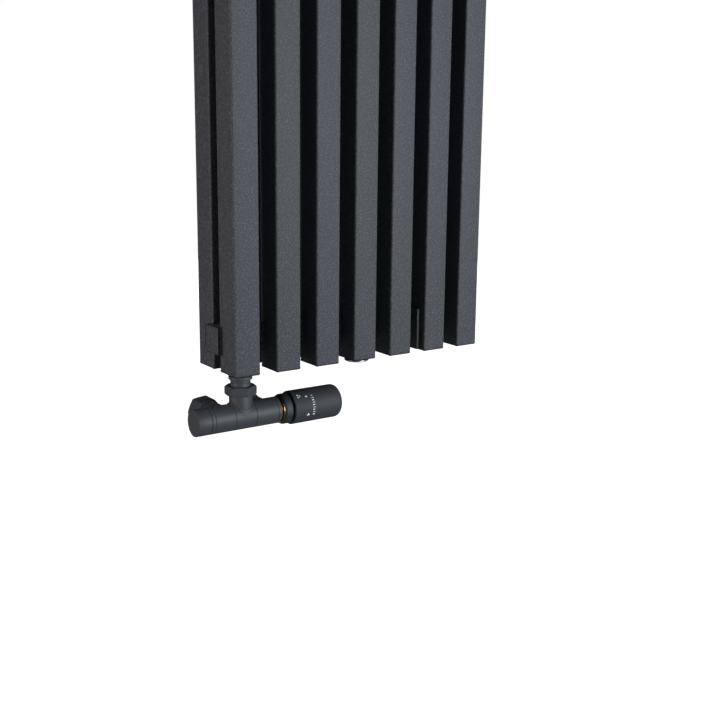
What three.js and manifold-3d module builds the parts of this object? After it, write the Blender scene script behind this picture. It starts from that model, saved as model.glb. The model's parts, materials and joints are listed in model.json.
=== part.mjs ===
// Radiator of two rows of upright rectangular tubes, with a thermostatic connection valve under the
// first front tube. Millimetres, +Z up. The origin is on the wall plane, at the middle of the tubes'
// width, level with their lower ends. The front of the radiator faces -Y.
import * as THREE from "three";
import { mergeVertices } from "three/addons/utils/BufferGeometryUtils.js";
import Module from "manifold-3d";

// ---- Driving dimensions -------------------------------------------------------------------------

const FIT = 0.3; // gap between two pieces that are screwed, pushed or welded together
const RUNNING = 0.35; // gap round a piece that turns or slides

const TUBE = { count: 7, height: 600, width: 30, depth: 35, pitch: 50, wall: 1.5, endPlate: 3 };
const ROW_GAP = 15; // between the two rows of tubes
const WALL_GAP = 30; // from the wall to the rear row

// Square cross tubes between the rows, let into both rows of tubes
const HEADER = { side: 30, wall: 2, overhang: 4, axisFromEnd: 35, portRadius: 7, capPlate: 1.2 };

// Threaded sockets in the lower ends of the front tubes that take the valve and the blanking plug
const BOSS = { radius: 13.2, height: 12, threadRadius: 10.2, valveTube: 1, plugTube: 4 };

// Steel cradles that carry the headers; both stand on the inner side of a tube
const BRACKET = {
  plate: 4,
  prong: 16,
  prongBelowTop: 0.5,
  web: 16,
  flange: 34,
  holeRadius: 3.5,
  holeInset: 11,
  linerWall: 2,
  linerWidth: 8,
  tubesFromEnd: 2,
};

const BLANKING = {
  flangeRadius: 14,
  flange: 2,
  gasketRadius: 12.6,
  gasket: 0.8,
  hexSocket: 10,
  socketDepth: 6,
};

const VENT = {
  flangeRadius: 7,
  flange: 2.5,
  threadRadius: 4.7,
  threadLength: 5,
  bore: 3,
  screwRadius: 2.6,
  key: 4,
};

// The riser that joins the valve to the tube, downwards from the tube's end
const RISER = {
  gasket: 1.2,
  gasketRadius: 12,
  collarRadius: 12.85,
  collar: 4,
  neckRadius: 10.85,
  neck: 6.4,
  bore: 8,
  nutFlats: 30,
  nutHeight: 10.4,
  nutLip: 2.6,
  flange: 2.6,
  seal: 1.5,
  stubRadius: 12.6,
};
const DIP_TUBE = { radius: 6, wall: 1, above: 240, footRadius: 7.6, foot: 3, footAboveAxis: 9 };

// The valve body lies along X; "left" and "right" are distances from the riser's axis
const BODY = {
  drop: 46.2, // tube ends to the body's axis
  radius: 14.65,
  left: 40.3,
  right: 43.9,
  groove: 0.35,
  grooveWidth: 0.7,
  ringGroove: 36.1,
  teeHalf: 12.5,
  endGroove: 39.4,
  chamber: 8,
};

// Wall-side pipe connections
const PORT = {
  spacing: 50,
  branchRadius: 14.2,
  neckRadius: 11,
  neckEnd: 34,
  pipeRadius: 7.7,
  stop: 20,
  waterway: 5.5,
  nutFlats: 28,
  nutTurn: -7, // degrees that the tightened nuts stand off level
  nutStart: 22.5,
  nutLength: 24.5,
  nutLip: 9,
  clampRing: 3,
};

// Return shut-off: a cock that turns in the left bore, under a cover cap
const SHUTOFF = {
  radius: 9.2,
  start: 9,
  length: 36,
  waterway: 5,
  dead: 13, // solid length between the waterway and the stem
  stemRadius: 4.5,
  stem: 7,
  gland: 4.4,
  slotWidth: 1.6,
  slotDepth: 2,
  ringGrooveDepth: 2,
  ringWidth: 2,
};
const COVER = { nippleRadius: 12, nipple: 12.7, wall: 2.4, edge: 0.8 };

// Thermostatic insert in the right bore, and what moves inside it
const INSERT = {
  radius: 10.2,
  seatFace: 14,
  seatRadius: 5,
  start: 20.5,
  cage: 7.5,
  cageDepth: 19,
  window: 4,
  flangeRadius: 15.3,
  flange: 2.4,
  threadRadius: 14.6,
  thread: 4.4,
};
const CONE = { radius: 7, disc: 2.5, rest: 2.2, stemRadius: 1.8 };
const SPRING = { coilRadius: 4.6, wire: 0.5, turns: 6, length: 18.5 };

// Thermostatic head
const RING_NUT = { radius: 16.8, length: 9.5, lip: 1.6, bevel: 1.4 };
const HEAD_BASE = { flange: 2.6, neckRadius: 12, neck: 5.5, sleeve: 24, wall: 2.4, floor: 1.6, pinHole: 3 };
const KNOB = { radius: 18.75, start: 58.5, length: 62.5, wall: 2, endFillet: 6, startChamfer: 1 };
const CAPSULE = { radius: 12.8, length: 46, travel: 1.25 }; // travel each way from the middle setting

const ROUND = 28; // sides of a large round piece
const SMALL_ROUND = 16;

// ---- Solids -------------------------------------------------------------------------------------

const wasm = await Module();
wasm.setup();

// A closed geometry as a solid that can be joined and cut
function solid(geometry) {
  geometry.deleteAttribute("normal");
  geometry.deleteAttribute("uv");
  const merged = mergeVertices(geometry, 1e-4);
  return new wasm.Manifold(
    new wasm.Mesh({
      numProp: 3,
      vertProperties: merged.attributes.position.array,
      triVerts: new Uint32Array(merged.index.array),
    }),
  );
}

function geometryOf(body) {
  const made = body.getMesh();
  const geometry = new THREE.BufferGeometry();
  geometry.setAttribute("position", new THREE.BufferAttribute(made.vertProperties, 3));
  geometry.setIndex(new THREE.BufferAttribute(made.triVerts, 1));
  const flat = geometry.toNonIndexed();
  flat.computeVertexNormals();
  return flat;
}

const join = (first, ...rest) => rest.reduce((sum, next) => sum.add(next), first);
const cut = (first, ...tools) => tools.reduce((left, tool) => left.subtract(tool), first);

function block([x0, x1], [y0, y1], [z0, z1]) {
  const box = new THREE.BoxGeometry(x1 - x0, y1 - y0, z1 - z0);
  return solid(box.translate((x0 + x1) / 2, (y0 + y1) / 2, (z0 + z1) / 2));
}

// Turns a geometry made along +Y so that it lies along the named axis
function along(axis, geometry) {
  if (axis === "x") return geometry.rotateZ(-Math.PI / 2);
  if (axis === "z") return geometry.rotateX(Math.PI / 2);
  return geometry;
}

// A solid of revolution. Its profile is a closed loop of [distance along the axis, radius].
function turned(axis, profile, sides = ROUND, centre = [0, 0, 0]) {
  const loop = profile.map(([distance, radius]) => new THREE.Vector2(radius, distance));
  if (THREE.ShapeUtils.area(loop) < 0) loop.reverse();
  loop.push(loop[0].clone());
  return solid(along(axis, new THREE.LatheGeometry(loop, sides)).translate(...centre));
}

// A bar, or a ring when it has an inner radius
function ring(axis, outer, inner, from, to, sides = ROUND, centre = [0, 0, 0]) {
  return turned(axis, [[from, inner], [from, outer], [to, outer], [to, inner]], sides, centre);
}

function rod(axis, radius, from, to, sides = ROUND, centre = [0, 0, 0]) {
  const bar = new THREE.CylinderGeometry(radius, radius, to - from, sides);
  return solid(along(axis, bar.translate(0, (from + to) / 2, 0)).translate(...centre));
}

// A hexagonal bar with both ends bevelled at its corners
function hexagon(axis, flats, from, to, degrees = 0, centre = [0, 0, 0]) {
  const corner = flats / Math.sqrt(3);
  const bevel = corner - flats / 2;
  const bar = new THREE.CylinderGeometry(corner, corner, to - from, 6);
  bar.rotateY(THREE.MathUtils.degToRad(degrees)).translate(0, (from + to) / 2, 0);
  const shoulders = [[from + bevel, corner + FIT], [to - bevel, corner + FIT]];
  const profile = [[from, 0], [from, flats / 2], ...shoulders, [to, flats / 2], [to, 0]];
  const barrel = turned(axis, profile, ROUND, centre);
  return solid(along(axis, bar).translate(...centre)).intersect(barrel);
}

// ---- Finishes -----------------------------------------------------------------------------------

const FINISHES = {
  coat: { color: 0x53575d, roughness: 0.7, metalness: 0.25 },
  valve: { color: 0x474c54, roughness: 0.6, metalness: 0.3 },
  head: { color: 0x34383e, roughness: 0.55, metalness: 0 },
  brass: { color: 0xb98b45, roughness: 0.3, metalness: 1 },
  nickel: { color: 0xb4b6b8, roughness: 0.3, metalness: 1 },
  steel: { color: 0x8b8f94, roughness: 0.4, metalness: 1 },
  rubber: { color: 0x18191a, roughness: 0.9, metalness: 0 },
  nylon: { color: 0x2b2d30, roughness: 0.6, metalness: 0 },
};

function piece(name, body, finish) {
  const mesh = new THREE.Mesh(geometryOf(body), new THREE.MeshStandardMaterial(FINISHES[finish]));
  mesh.name = name;
  return mesh;
}

// ---- Places that several pieces share -----------------------------------------------------------

const frontRowY = -(WALL_GAP + TUBE.depth + ROW_GAP + TUBE.depth / 2);
const rearRowY = -(WALL_GAP + TUBE.depth / 2);
const headerY = -(WALL_GAP + TUBE.depth + ROW_GAP / 2);
const tubeX = (number) => (number - (TUBE.count + 1) / 2) * TUBE.pitch;
const tubeNumbers = Array.from({ length: TUBE.count }, (_, index) => index + 1);
const headerHeights = { bottom: HEADER.axisFromEnd, top: TUBE.height - HEADER.axisFromEnd };
const headerEnd = tubeX(TUBE.count) + TUBE.width / 2 + HEADER.overhang;

// ---- Radiator -----------------------------------------------------------------------------------

// A closed tube with the recesses that the two headers are welded into
function tube(x, y) {
  const halfWidth = TUBE.width / 2;
  const halfDepth = TUBE.depth / 2;
  const outside = block([x - halfWidth, x + halfWidth], [y - halfDepth, y + halfDepth], [0, TUBE.height]);
  const inside = block(
    [x - halfWidth + TUBE.wall, x + halfWidth - TUBE.wall],
    [y - halfDepth + TUBE.wall, y + halfDepth - TUBE.wall],
    [TUBE.endPlate, TUBE.height - TUBE.endPlate],
  );
  const half = HEADER.side / 2 + FIT;
  const recesses = Object.values(headerHeights).map((z) =>
    block([x - halfWidth - 1, x + halfWidth + 1], [headerY - half, headerY + half], [z - half, z + half]),
  );
  return cut(outside, inside, ...recesses);
}

// A tube whose lower end has a threaded socket
function socketedTube(x, y) {
  const centre = [x, y, 0];
  const boss = rod("z", BOSS.radius, TUBE.endPlate / 2, BOSS.height, ROUND, centre);
  const thread = rod("z", BOSS.threadRadius + FIT, -1, BOSS.height + 1, ROUND, centre);
  return cut(join(tube(x, y), boss), thread);
}

function header(z) {
  const half = HEADER.side / 2;
  const bore = half - HEADER.wall;
  const length = [-headerEnd, headerEnd];
  const outside = block(length, [headerY - half, headerY + half], [z - half, z + half]);
  const inside = block(
    [-headerEnd - 1, headerEnd + 1],
    [headerY - bore, headerY + bore],
    [z - bore, z + bore],
  );
  const ports = tubeNumbers.map((number) =>
    rod("y", HEADER.portRadius, headerY - half - 1, headerY + half + 1, SMALL_ROUND, [tubeX(number), 0, z]),
  );
  return cut(outside, inside, ...ports);
}

// A plate that closes a header's end, with a spigot inside the header. Side is -1 or 1.
function headerCap(side, z, hole) {
  const half = HEADER.side / 2;
  const spigot = half - HEADER.wall - FIT;
  const face = headerEnd + FIT;
  const span = (from, to) => (side > 0 ? [from, to] : [-to, -from]);
  const plate = block(
    span(face, face + HEADER.capPlate),
    [headerY - half, headerY + half],
    [z - half, z + half],
  );
  const plug = block(
    span(headerEnd - HEADER.capPlate * 2, face),
    [headerY - spigot, headerY + spigot],
    [z - spigot, z + spigot],
  );
  const cap = join(plate, plug);
  if (!hole) return cap;
  return cut(cap, rod("x", hole, ...span(face - 10, face + 10), SMALL_ROUND, [0, headerY, z]));
}

// Half the opening of a bracket's cradle: the header, its liner and their gaps
const cradleHalf = HEADER.side / 2 + BRACKET.linerWall + 2 * FIT;

// An upright plate with a cradle that is open at the top, bent at the wall into a flange with two holes
function bracket(side, z) {
  const beside = tubeX(TUBE.count + 1 - BRACKET.tubesFromEnd) - TUBE.width / 2 - FIT;
  const plate = [beside - BRACKET.plate, beside];
  const flange = [beside - BRACKET.flange, beside];
  const top = z + HEADER.side / 2 - BRACKET.prongBelowTop;
  const floor = z - cradleHalf;
  const bottom = floor - BRACKET.web;
  const place = (range) => (side > 0 ? range : [-range[1], -range[0]]);
  const front = headerY - cradleHalf - BRACKET.prong;
  const upright = block(place(plate), [front, -BRACKET.plate / 2], [bottom, top]);
  const foot = block(place(flange), [-BRACKET.plate, 0], [bottom, top]);
  const cradle = block(
    place([plate[0] - 1, plate[1] + 1]),
    [headerY - cradleHalf, headerY + cradleHalf],
    [floor, top + 1],
  );
  const holeX = side * (beside - (BRACKET.flange + BRACKET.plate) / 2);
  const holes = [bottom + BRACKET.holeInset, top - BRACKET.holeInset].map((holeZ) =>
    rod("y", BRACKET.holeRadius, -BRACKET.plate - 1, 1, SMALL_ROUND, [holeX, 0, holeZ]),
  );
  return cut(join(upright, foot), cradle, ...holes);
}

// The plastic lining of a cradle
function liner(side, z) {
  const beside = tubeX(TUBE.count + 1 - BRACKET.tubesFromEnd) - TUBE.width / 2 - FIT;
  const middle = side * (beside - BRACKET.plate / 2);
  const outer = cradleHalf - FIT;
  const inner = HEADER.side / 2 + FIT;
  const top = z + HEADER.side / 2 - BRACKET.prongBelowTop;
  const half = Math.min(BRACKET.linerWidth / 2, BRACKET.plate / 2 + FIT);
  const width = [middle - half + FIT, middle + half - FIT];
  return cut(
    block(width, [headerY - outer, headerY + outer], [z - outer, top]),
    block([width[0] - 1, width[1] + 1], [headerY - inner, headerY + inner], [z - inner, top + 1]),
  );
}

// Blanking plug with a hexagonal socket, and its gasket
function blankingPlug(centre) {
  const flangeTop = -(2 * FIT + BLANKING.gasket);
  const flangeBottom = flangeTop - BLANKING.flange;
  const shaft = turned(
    "z",
    [
      [flangeBottom, 0],
      [flangeBottom, BLANKING.flangeRadius],
      [flangeTop, BLANKING.flangeRadius],
      [flangeTop, BOSS.threadRadius],
      [BOSS.height, BOSS.threadRadius],
      [BOSS.height, 0],
    ],
    ROUND,
    centre,
  );
  const corner = BLANKING.hexSocket / Math.sqrt(3);
  const socket = new THREE.CylinderGeometry(corner, corner, BLANKING.socketDepth + 1, 6);
  socket.translate(0, flangeBottom + (BLANKING.socketDepth - 1) / 2, 0);
  return cut(shaft, solid(along("z", socket).translate(...centre)));
}

function blankingGasket(centre) {
  const inner = BOSS.threadRadius + FIT;
  return ring("z", BLANKING.gasketRadius, inner, -FIT - BLANKING.gasket, -FIT, ROUND, centre);
}

// Air vent in the right end of the top header: a threaded body and the bleed screw in it
const ventFace = headerEnd + FIT + HEADER.capPlate + FIT;
const ventCentre = [0, headerY, headerHeights.top];

function ventBody() {
  const end = ventFace + VENT.flange;
  return turned(
    "x",
    [
      [ventFace - VENT.threadLength, VENT.bore + FIT],
      [ventFace - VENT.threadLength, VENT.threadRadius],
      [ventFace, VENT.threadRadius],
      [ventFace, VENT.flangeRadius],
      [end, VENT.flangeRadius - VENT.flange / 3],
      [end, VENT.bore + FIT],
    ],
    SMALL_ROUND,
    ventCentre,
  );
}

function ventScrew() {
  const end = ventFace + VENT.flange;
  const half = VENT.key / 2;
  const [, y, z] = ventCentre;
  return join(
    rod("x", VENT.screwRadius, ventFace - VENT.threadLength, end, SMALL_ROUND, ventCentre),
    block([end - 1, end + VENT.key], [y - half, y + half], [z - half, z + half]),
  );
}

function radiatorPieces() {
  const cradles = [
    ["left", -1],
    ["right", 1],
  ];
  const bossed = [BOSS.valveTube, BOSS.plugTube];
  const plugCentre = [tubeX(BOSS.plugTube), frontRowY, 0];
  const tubes = tubeNumbers.flatMap((number) => {
    const make = bossed.includes(number) ? socketedTube : tube;
    return [
      piece("front_tube_" + number, make(tubeX(number), frontRowY), "coat"),
      piece("rear_tube_" + number, tube(tubeX(number), rearRowY), "coat"),
    ];
  });
  const levels = Object.entries(headerHeights).flatMap(([level, z]) => [
    piece("header_" + level, header(z), "coat"),
    ...cradles.flatMap(([hand, side]) => {
      const ventHole = level === "top" && side > 0 ? VENT.threadRadius + FIT : 0;
      return [
        piece(`header_cap_${level}_${hand}`, headerCap(side, z, ventHole), "coat"),
        piece(`wall_bracket_${level}_${hand}`, bracket(side, z), "coat"),
        piece(`bracket_liner_${level}_${hand}`, liner(side, z), "nylon"),
      ];
    }),
  ]);
  return [
    ...tubes,
    ...levels,
    piece("blanking_plug", blankingPlug(plugCentre), "nickel"),
    piece("blanking_gasket", blankingGasket(plugCentre), "rubber"),
    piece("air_vent_body", ventBody(), "nickel"),
    piece("air_vent_screw", ventScrew(), "brass"),
  ];
}

// ---- Valve: made round its own origin, where the riser's axis meets the body's axis --------------

const tubeEnd = BODY.drop;
const collarTop = tubeEnd - 2 * FIT - RISER.gasket;
const collarBottom = collarTop - RISER.collar;
const nutTop = collarBottom - RISER.neck;
const nutBottom = nutTop - RISER.nutHeight;
const flangeTop = nutTop - RISER.nutLip - FIT;
const flangeBottom = flangeTop - RISER.flange;
const sealBottom = flangeBottom - FIT - RISER.seal;
const stubTop = sealBottom - FIT;
const bodyLeft = -BODY.left;
const nippleEnd = bodyLeft - COVER.nipple;
const cockEnd = -(SHUTOFF.start + SHUTOFF.length);
const insertFlange = [BODY.right + FIT, BODY.right + FIT + INSERT.flange];
const ringNutStart = insertFlange[1] + FIT;
const ringNutEnd = ringNutStart + RING_NUT.length;
const baseFlange = ringNutStart + INSERT.thread + FIT;
const baseNeckEnd = baseFlange + HEAD_BASE.flange + HEAD_BASE.neck;
const sleeveRadius = KNOB.radius - KNOB.wall - RUNNING;
const sleeveEnd = baseNeckEnd + HEAD_BASE.sleeve;
const coneFace = INSERT.seatFace + CONE.rest;
const stemEnd = INSERT.start + INSERT.cageDepth;
const capsuleStart = baseNeckEnd + HEAD_BASE.floor + CAPSULE.travel + RUNNING;

// A shallow groove round the body as four points of its profile
const groove = (at) => [
  [at - BODY.grooveWidth / 2, BODY.radius],
  [at - BODY.grooveWidth / 2, BODY.radius - BODY.groove],
  [at + BODY.grooveWidth / 2, BODY.radius - BODY.groove],
  [at + BODY.grooveWidth / 2, BODY.radius],
];

function valveBody() {
  const seams = [-BODY.ringGroove, -BODY.teeHalf, BODY.teeHalf, BODY.endGroove];
  const barrel = turned("x", [
    [nippleEnd, 0],
    [nippleEnd, COVER.nippleRadius],
    [bodyLeft, COVER.nippleRadius],
    [bodyLeft, BODY.radius],
    ...seams.flatMap(groove),
    [BODY.right, BODY.radius],
    [BODY.right, 0],
  ]);
  const ports = [-1, 1].map((side) => side * (PORT.spacing / 2));
  const branchEnd = PORT.nutStart - FIT;
  const neckSockets = ports.flatMap((x) => [
    rod("y", PORT.pipeRadius, PORT.stop, PORT.neckEnd + 1, SMALL_ROUND, [x, 0, 0]),
    rod("y", PORT.waterway, 0, PORT.neckEnd, SMALL_ROUND, [x, 0, 0]),
  ]);
  return cut(
    join(
      barrel,
      rod("z", RISER.stubRadius, 0, stubTop),
      ...ports.map((x) => rod("y", PORT.branchRadius, 0, branchEnd, ROUND, [x, 0, 0])),
      ...ports.map((x) => rod("y", PORT.neckRadius, 0, PORT.neckEnd, ROUND, [x, 0, 0])),
    ),
    rod("z", BODY.chamber, -BODY.chamber, stubTop + 1),
    rod("x", SHUTOFF.radius + RUNNING, nippleEnd - 1, -SHUTOFF.start + RUNNING),
    rod("x", INSERT.seatRadius, 0, INSERT.seatFace + 1, SMALL_ROUND),
    rod("x", INSERT.radius + FIT, INSERT.seatFace, BODY.right + 1),
    ...neckSockets,
  );
}

function coverCap() {
  const outerEnd = nippleEnd - RUNNING - COVER.wall;
  const inner = COVER.nippleRadius + RUNNING;
  const mouth = bodyLeft - FIT;
  return turned("x", [
    [outerEnd, 0],
    [outerEnd, BODY.radius - COVER.edge],
    [outerEnd + COVER.edge, BODY.radius],
    [mouth, BODY.radius],
    [mouth, inner],
    [nippleEnd - RUNNING, inner],
    [nippleEnd - RUNNING, 0],
  ]);
}

// The cock: water enters its hollow end and leaves through a hole in its side
const cockRing = cockEnd + SHUTOFF.dead / 2;

function shutoffCock() {
  const halfGroove = SHUTOFF.ringWidth / 2 + FIT;
  const grooveFloor = SHUTOFF.radius - SHUTOFF.ringGrooveDepth - FIT;
  const stemTip = cockEnd - SHUTOFF.stem;
  const halfSlot = SHUTOFF.slotWidth / 2;
  const shaft = turned("x", [
    [stemTip, 0],
    [stemTip, SHUTOFF.stemRadius],
    [cockEnd, SHUTOFF.stemRadius],
    [cockEnd, SHUTOFF.radius],
    [cockRing - halfGroove, SHUTOFF.radius],
    [cockRing - halfGroove, grooveFloor],
    [cockRing + halfGroove, grooveFloor],
    [cockRing + halfGroove, SHUTOFF.radius],
    [-SHUTOFF.start, SHUTOFF.radius],
    [-SHUTOFF.start, 0],
  ]);
  return cut(
    shaft,
    rod("x", SHUTOFF.waterway, cockEnd + SHUTOFF.dead, -SHUTOFF.start + 1, SMALL_ROUND),
    rod("y", SHUTOFF.waterway, 0, SHUTOFF.radius + 1, SMALL_ROUND, [-PORT.spacing / 2, 0, 0]),
    block(
      [stemTip - 1, stemTip + SHUTOFF.slotDepth],
      [-SHUTOFF.stemRadius - 1, SHUTOFF.stemRadius + 1],
      [-halfSlot, halfSlot],
    ),
  );
}

function shutoffRing() {
  const half = SHUTOFF.ringWidth / 2;
  const inner = SHUTOFF.radius - SHUTOFF.ringGrooveDepth;
  return ring("x", SHUTOFF.radius, inner, cockRing - half, cockRing + half);
}

// Screwed into the mouth of the left bore, it keeps the cock in
function shutoffGland() {
  const end = cockEnd - RUNNING;
  return ring("x", SHUTOFF.radius, SHUTOFF.stemRadius + RUNNING, end - SHUTOFF.gland, end, SMALL_ROUND);
}

function thermostaticInsert() {
  const cageEnd = INSERT.start + INSERT.cageDepth;
  const threadEnd = ringNutStart + INSERT.thread - FIT;
  const guide = CONE.stemRadius + RUNNING;
  const shell = turned("x", [
    [INSERT.start, INSERT.cage],
    [INSERT.start, INSERT.radius],
    [insertFlange[0], INSERT.radius],
    [insertFlange[0], INSERT.flangeRadius],
    [insertFlange[1], INSERT.flangeRadius],
    [insertFlange[1], INSERT.threadRadius],
    [threadEnd, INSERT.threadRadius],
    [threadEnd, guide],
    [cageEnd, guide],
    [cageEnd, INSERT.cage],
  ]);
  const port = [PORT.spacing / 2, 0, 0];
  return cut(shell, rod("y", INSERT.window, -BODY.radius, BODY.radius, SMALL_ROUND, port));
}

function valveCone() {
  return turned(
    "x",
    [
      [coneFace, 0],
      [coneFace, CONE.radius],
      [coneFace + CONE.disc, CONE.radius],
      [coneFace + CONE.disc, CONE.stemRadius],
      [stemEnd, CONE.stemRadius],
      [stemEnd, 0],
    ],
    SMALL_ROUND,
  );
}

function pushPin() {
  return rod("x", CONE.stemRadius, stemEnd + FIT, capsuleStart - FIT, SMALL_ROUND);
}

// The closing spring between the cone and the floor of the insert's cage
function returnSpring() {
  class Helix extends THREE.Curve {
    getPoint(t, target = new THREE.Vector3()) {
      const angle = t * SPRING.turns * 2 * Math.PI;
      const start = coneFace + CONE.disc + FIT + SPRING.wire;
      const x = start + t * (SPRING.length - 2 * SPRING.wire - 2 * FIT);
      return target.set(x, SPRING.coilRadius * Math.cos(angle), SPRING.coilRadius * Math.sin(angle));
    }
  }
  const wire = new THREE.Shape().absarc(0, 0, SPRING.wire, 0, 2 * Math.PI);
  const steps = SPRING.turns * 12;
  const options = { extrudePath: new Helix(), steps, curveSegments: 3, bevelEnabled: false };
  return solid(new THREE.ExtrudeGeometry(wire, options));
}

function ringNut() {
  const lipInner = HEAD_BASE.neckRadius + FIT;
  const lipStart = ringNutEnd - RING_NUT.lip;
  const bore = INSERT.threadRadius + FIT;
  return turned("x", [
    [ringNutStart, bore],
    [ringNutStart, RING_NUT.radius - RING_NUT.bevel],
    [ringNutStart + RING_NUT.bevel, RING_NUT.radius],
    [ringNutEnd - RING_NUT.bevel / 2, RING_NUT.radius],
    [ringNutEnd, RING_NUT.radius - RING_NUT.bevel / 2],
    [ringNutEnd, lipInner],
    [lipStart, lipInner],
    [lipStart, bore],
  ]);
}

// The fixed part of the head: a flange that the ring nut holds, and a sleeve that the knob turns on
function headBase() {
  const cup = sleeveRadius - HEAD_BASE.wall;
  return turned("x", [
    [baseFlange, HEAD_BASE.pinHole],
    [baseFlange, INSERT.threadRadius],
    [baseFlange + HEAD_BASE.flange, INSERT.threadRadius],
    [baseFlange + HEAD_BASE.flange, HEAD_BASE.neckRadius],
    [baseNeckEnd, HEAD_BASE.neckRadius],
    [baseNeckEnd, sleeveRadius],
    [sleeveEnd, sleeveRadius],
    [sleeveEnd, cup],
    [baseNeckEnd + HEAD_BASE.floor, cup],
    [baseNeckEnd + HEAD_BASE.floor, HEAD_BASE.pinHole],
  ]);
}

function sensorCapsule() {
  const edge = CAPSULE.radius / 6;
  const end = capsuleStart + CAPSULE.length;
  return turned("x", [
    [capsuleStart, 0],
    [capsuleStart, CAPSULE.radius - edge],
    [capsuleStart + edge, CAPSULE.radius],
    [end - edge, CAPSULE.radius],
    [end, CAPSULE.radius - edge],
    [end, 0],
  ]);
}

function headKnob() {
  const end = KNOB.start + KNOB.length;
  const inner = KNOB.radius - KNOB.wall;
  const fillet = Array.from({ length: 6 }, (_, step) => {
    const angle = (step / 5) * (Math.PI / 2);
    return [
      end - KNOB.endFillet + KNOB.endFillet * Math.sin(angle),
      KNOB.radius - KNOB.endFillet + KNOB.endFillet * Math.cos(angle),
    ];
  });
  const cavityEnd = end - KNOB.wall;
  return turned("x", [
    [KNOB.start, inner],
    [KNOB.start, KNOB.radius - KNOB.startChamfer],
    [KNOB.start + KNOB.startChamfer, KNOB.radius],
    ...fillet,
    [end, 0],
    [cavityEnd, 0],
    [cavityEnd, KNOB.radius - KNOB.endFillet],
    [end - KNOB.endFillet, inner],
  ]);
}

// The tailpiece is screwed into the tube and held to the body by the union nut
function tailpiece() {
  return turned("z", [
    [flangeBottom, RISER.bore],
    [flangeBottom, RISER.stubRadius],
    [flangeTop, RISER.stubRadius],
    [flangeTop, RISER.neckRadius],
    [collarBottom, RISER.neckRadius],
    [collarBottom, RISER.collarRadius],
    [collarTop, RISER.collarRadius],
    [collarTop, BOSS.threadRadius],
    [tubeEnd + BOSS.height, BOSS.threadRadius],
    [tubeEnd + BOSS.height, RISER.bore],
  ]);
}

function unionNut() {
  return cut(
    hexagon("z", RISER.nutFlats, nutBottom, nutTop),
    rod("z", RISER.stubRadius + FIT, nutBottom - 1, nutTop - RISER.nutLip),
    rod("z", RISER.neckRadius + FIT, nutBottom - 1, nutTop + 1),
  );
}

function dipTube() {
  const foot = DIP_TUBE.footAboveAxis;
  const top = tubeEnd + DIP_TUBE.above;
  const inner = DIP_TUBE.radius - DIP_TUBE.wall;
  return turned(
    "z",
    [
      [foot, inner],
      [foot, DIP_TUBE.footRadius],
      [foot + DIP_TUBE.foot, DIP_TUBE.footRadius],
      [foot + DIP_TUBE.foot, DIP_TUBE.radius],
      [top, DIP_TUBE.radius],
      [top, inner],
    ],
    SMALL_ROUND,
  );
}

// A pipe's nut and the ring that it clamps round the pipe
function pipeNut(x) {
  const end = PORT.nutStart + PORT.nutLength;
  const centre = [x, 0, 0];
  return cut(
    hexagon("y", PORT.nutFlats, PORT.nutStart, end, 30 + PORT.nutTurn, centre),
    rod("y", PORT.neckRadius + FIT, PORT.nutStart - 1, end - PORT.nutLip, ROUND, centre),
    rod("y", PORT.pipeRadius, PORT.nutStart - 1, end + 1, SMALL_ROUND, centre),
  );
}

function clampRing(x) {
  const start = PORT.neckEnd + FIT;
  const end = start + PORT.clampRing;
  return ring("y", PORT.neckRadius, PORT.pipeRadius, start, end, SMALL_ROUND, [x, 0, 0]);
}

function valvePieces() {
  const half = PORT.spacing / 2;
  const gasketInner = BOSS.threadRadius + FIT;
  const portGasket = ring("z", RISER.gasketRadius, gasketInner, collarTop + FIT, tubeEnd - FIT);
  const unionSeal = ring("z", RISER.stubRadius, RISER.bore, sealBottom, flangeBottom - FIT);
  return [
    piece("port_gasket", portGasket, "rubber"),
    piece("tailpiece", tailpiece(), "valve"),
    piece("union_nut", unionNut(), "valve"),
    piece("union_seal", unionSeal, "rubber"),
    piece("dip_tube", dipTube(), "nylon"),
    piece("valve_body", valveBody(), "valve"),
    piece("return_pipe_nut", pipeNut(-half), "valve"),
    piece("supply_pipe_nut", pipeNut(half), "valve"),
    piece("return_clamp_ring", clampRing(-half), "brass"),
    piece("supply_clamp_ring", clampRing(half), "brass"),
    piece("cover_cap", coverCap(), "valve"),
    piece("shutoff_cock", shutoffCock(), "brass"),
    piece("shutoff_o_ring", shutoffRing(), "rubber"),
    piece("shutoff_gland", shutoffGland(), "brass"),
    piece("thermostatic_insert", thermostaticInsert(), "brass"),
    piece("valve_cone", valveCone(), "brass"),
    piece("return_spring", returnSpring(), "steel"),
    piece("push_pin", pushPin(), "steel"),
    piece("ring_nut", ringNut(), "nickel"),
    piece("head_base", headBase(), "head"),
    piece("sensor_capsule", sensorCapsule(), "steel"),
    piece("head_knob", headKnob(), "head"),
  ];
}

// ---- Assembly -----------------------------------------------------------------------------------

const radiator = new THREE.Group().add(...radiatorPieces());
const valve = new THREE.Group().add(...valvePieces());
valve.position.set(tubeX(BOSS.valveTube), frontRowY, -BODY.drop);

export default new THREE.Group().add(radiator, valve);
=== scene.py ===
"""Radiator with a thermostatic connection valve: the visible pieces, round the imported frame.

Metres, +Z up, the wall at Y = 0 and the front of the radiator towards -Y."""

import json
import math

import bpy
from bpy.props import FloatProperty, FloatVectorProperty, IntProperty, PointerProperty
from mathutils import Matrix, Vector


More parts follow.
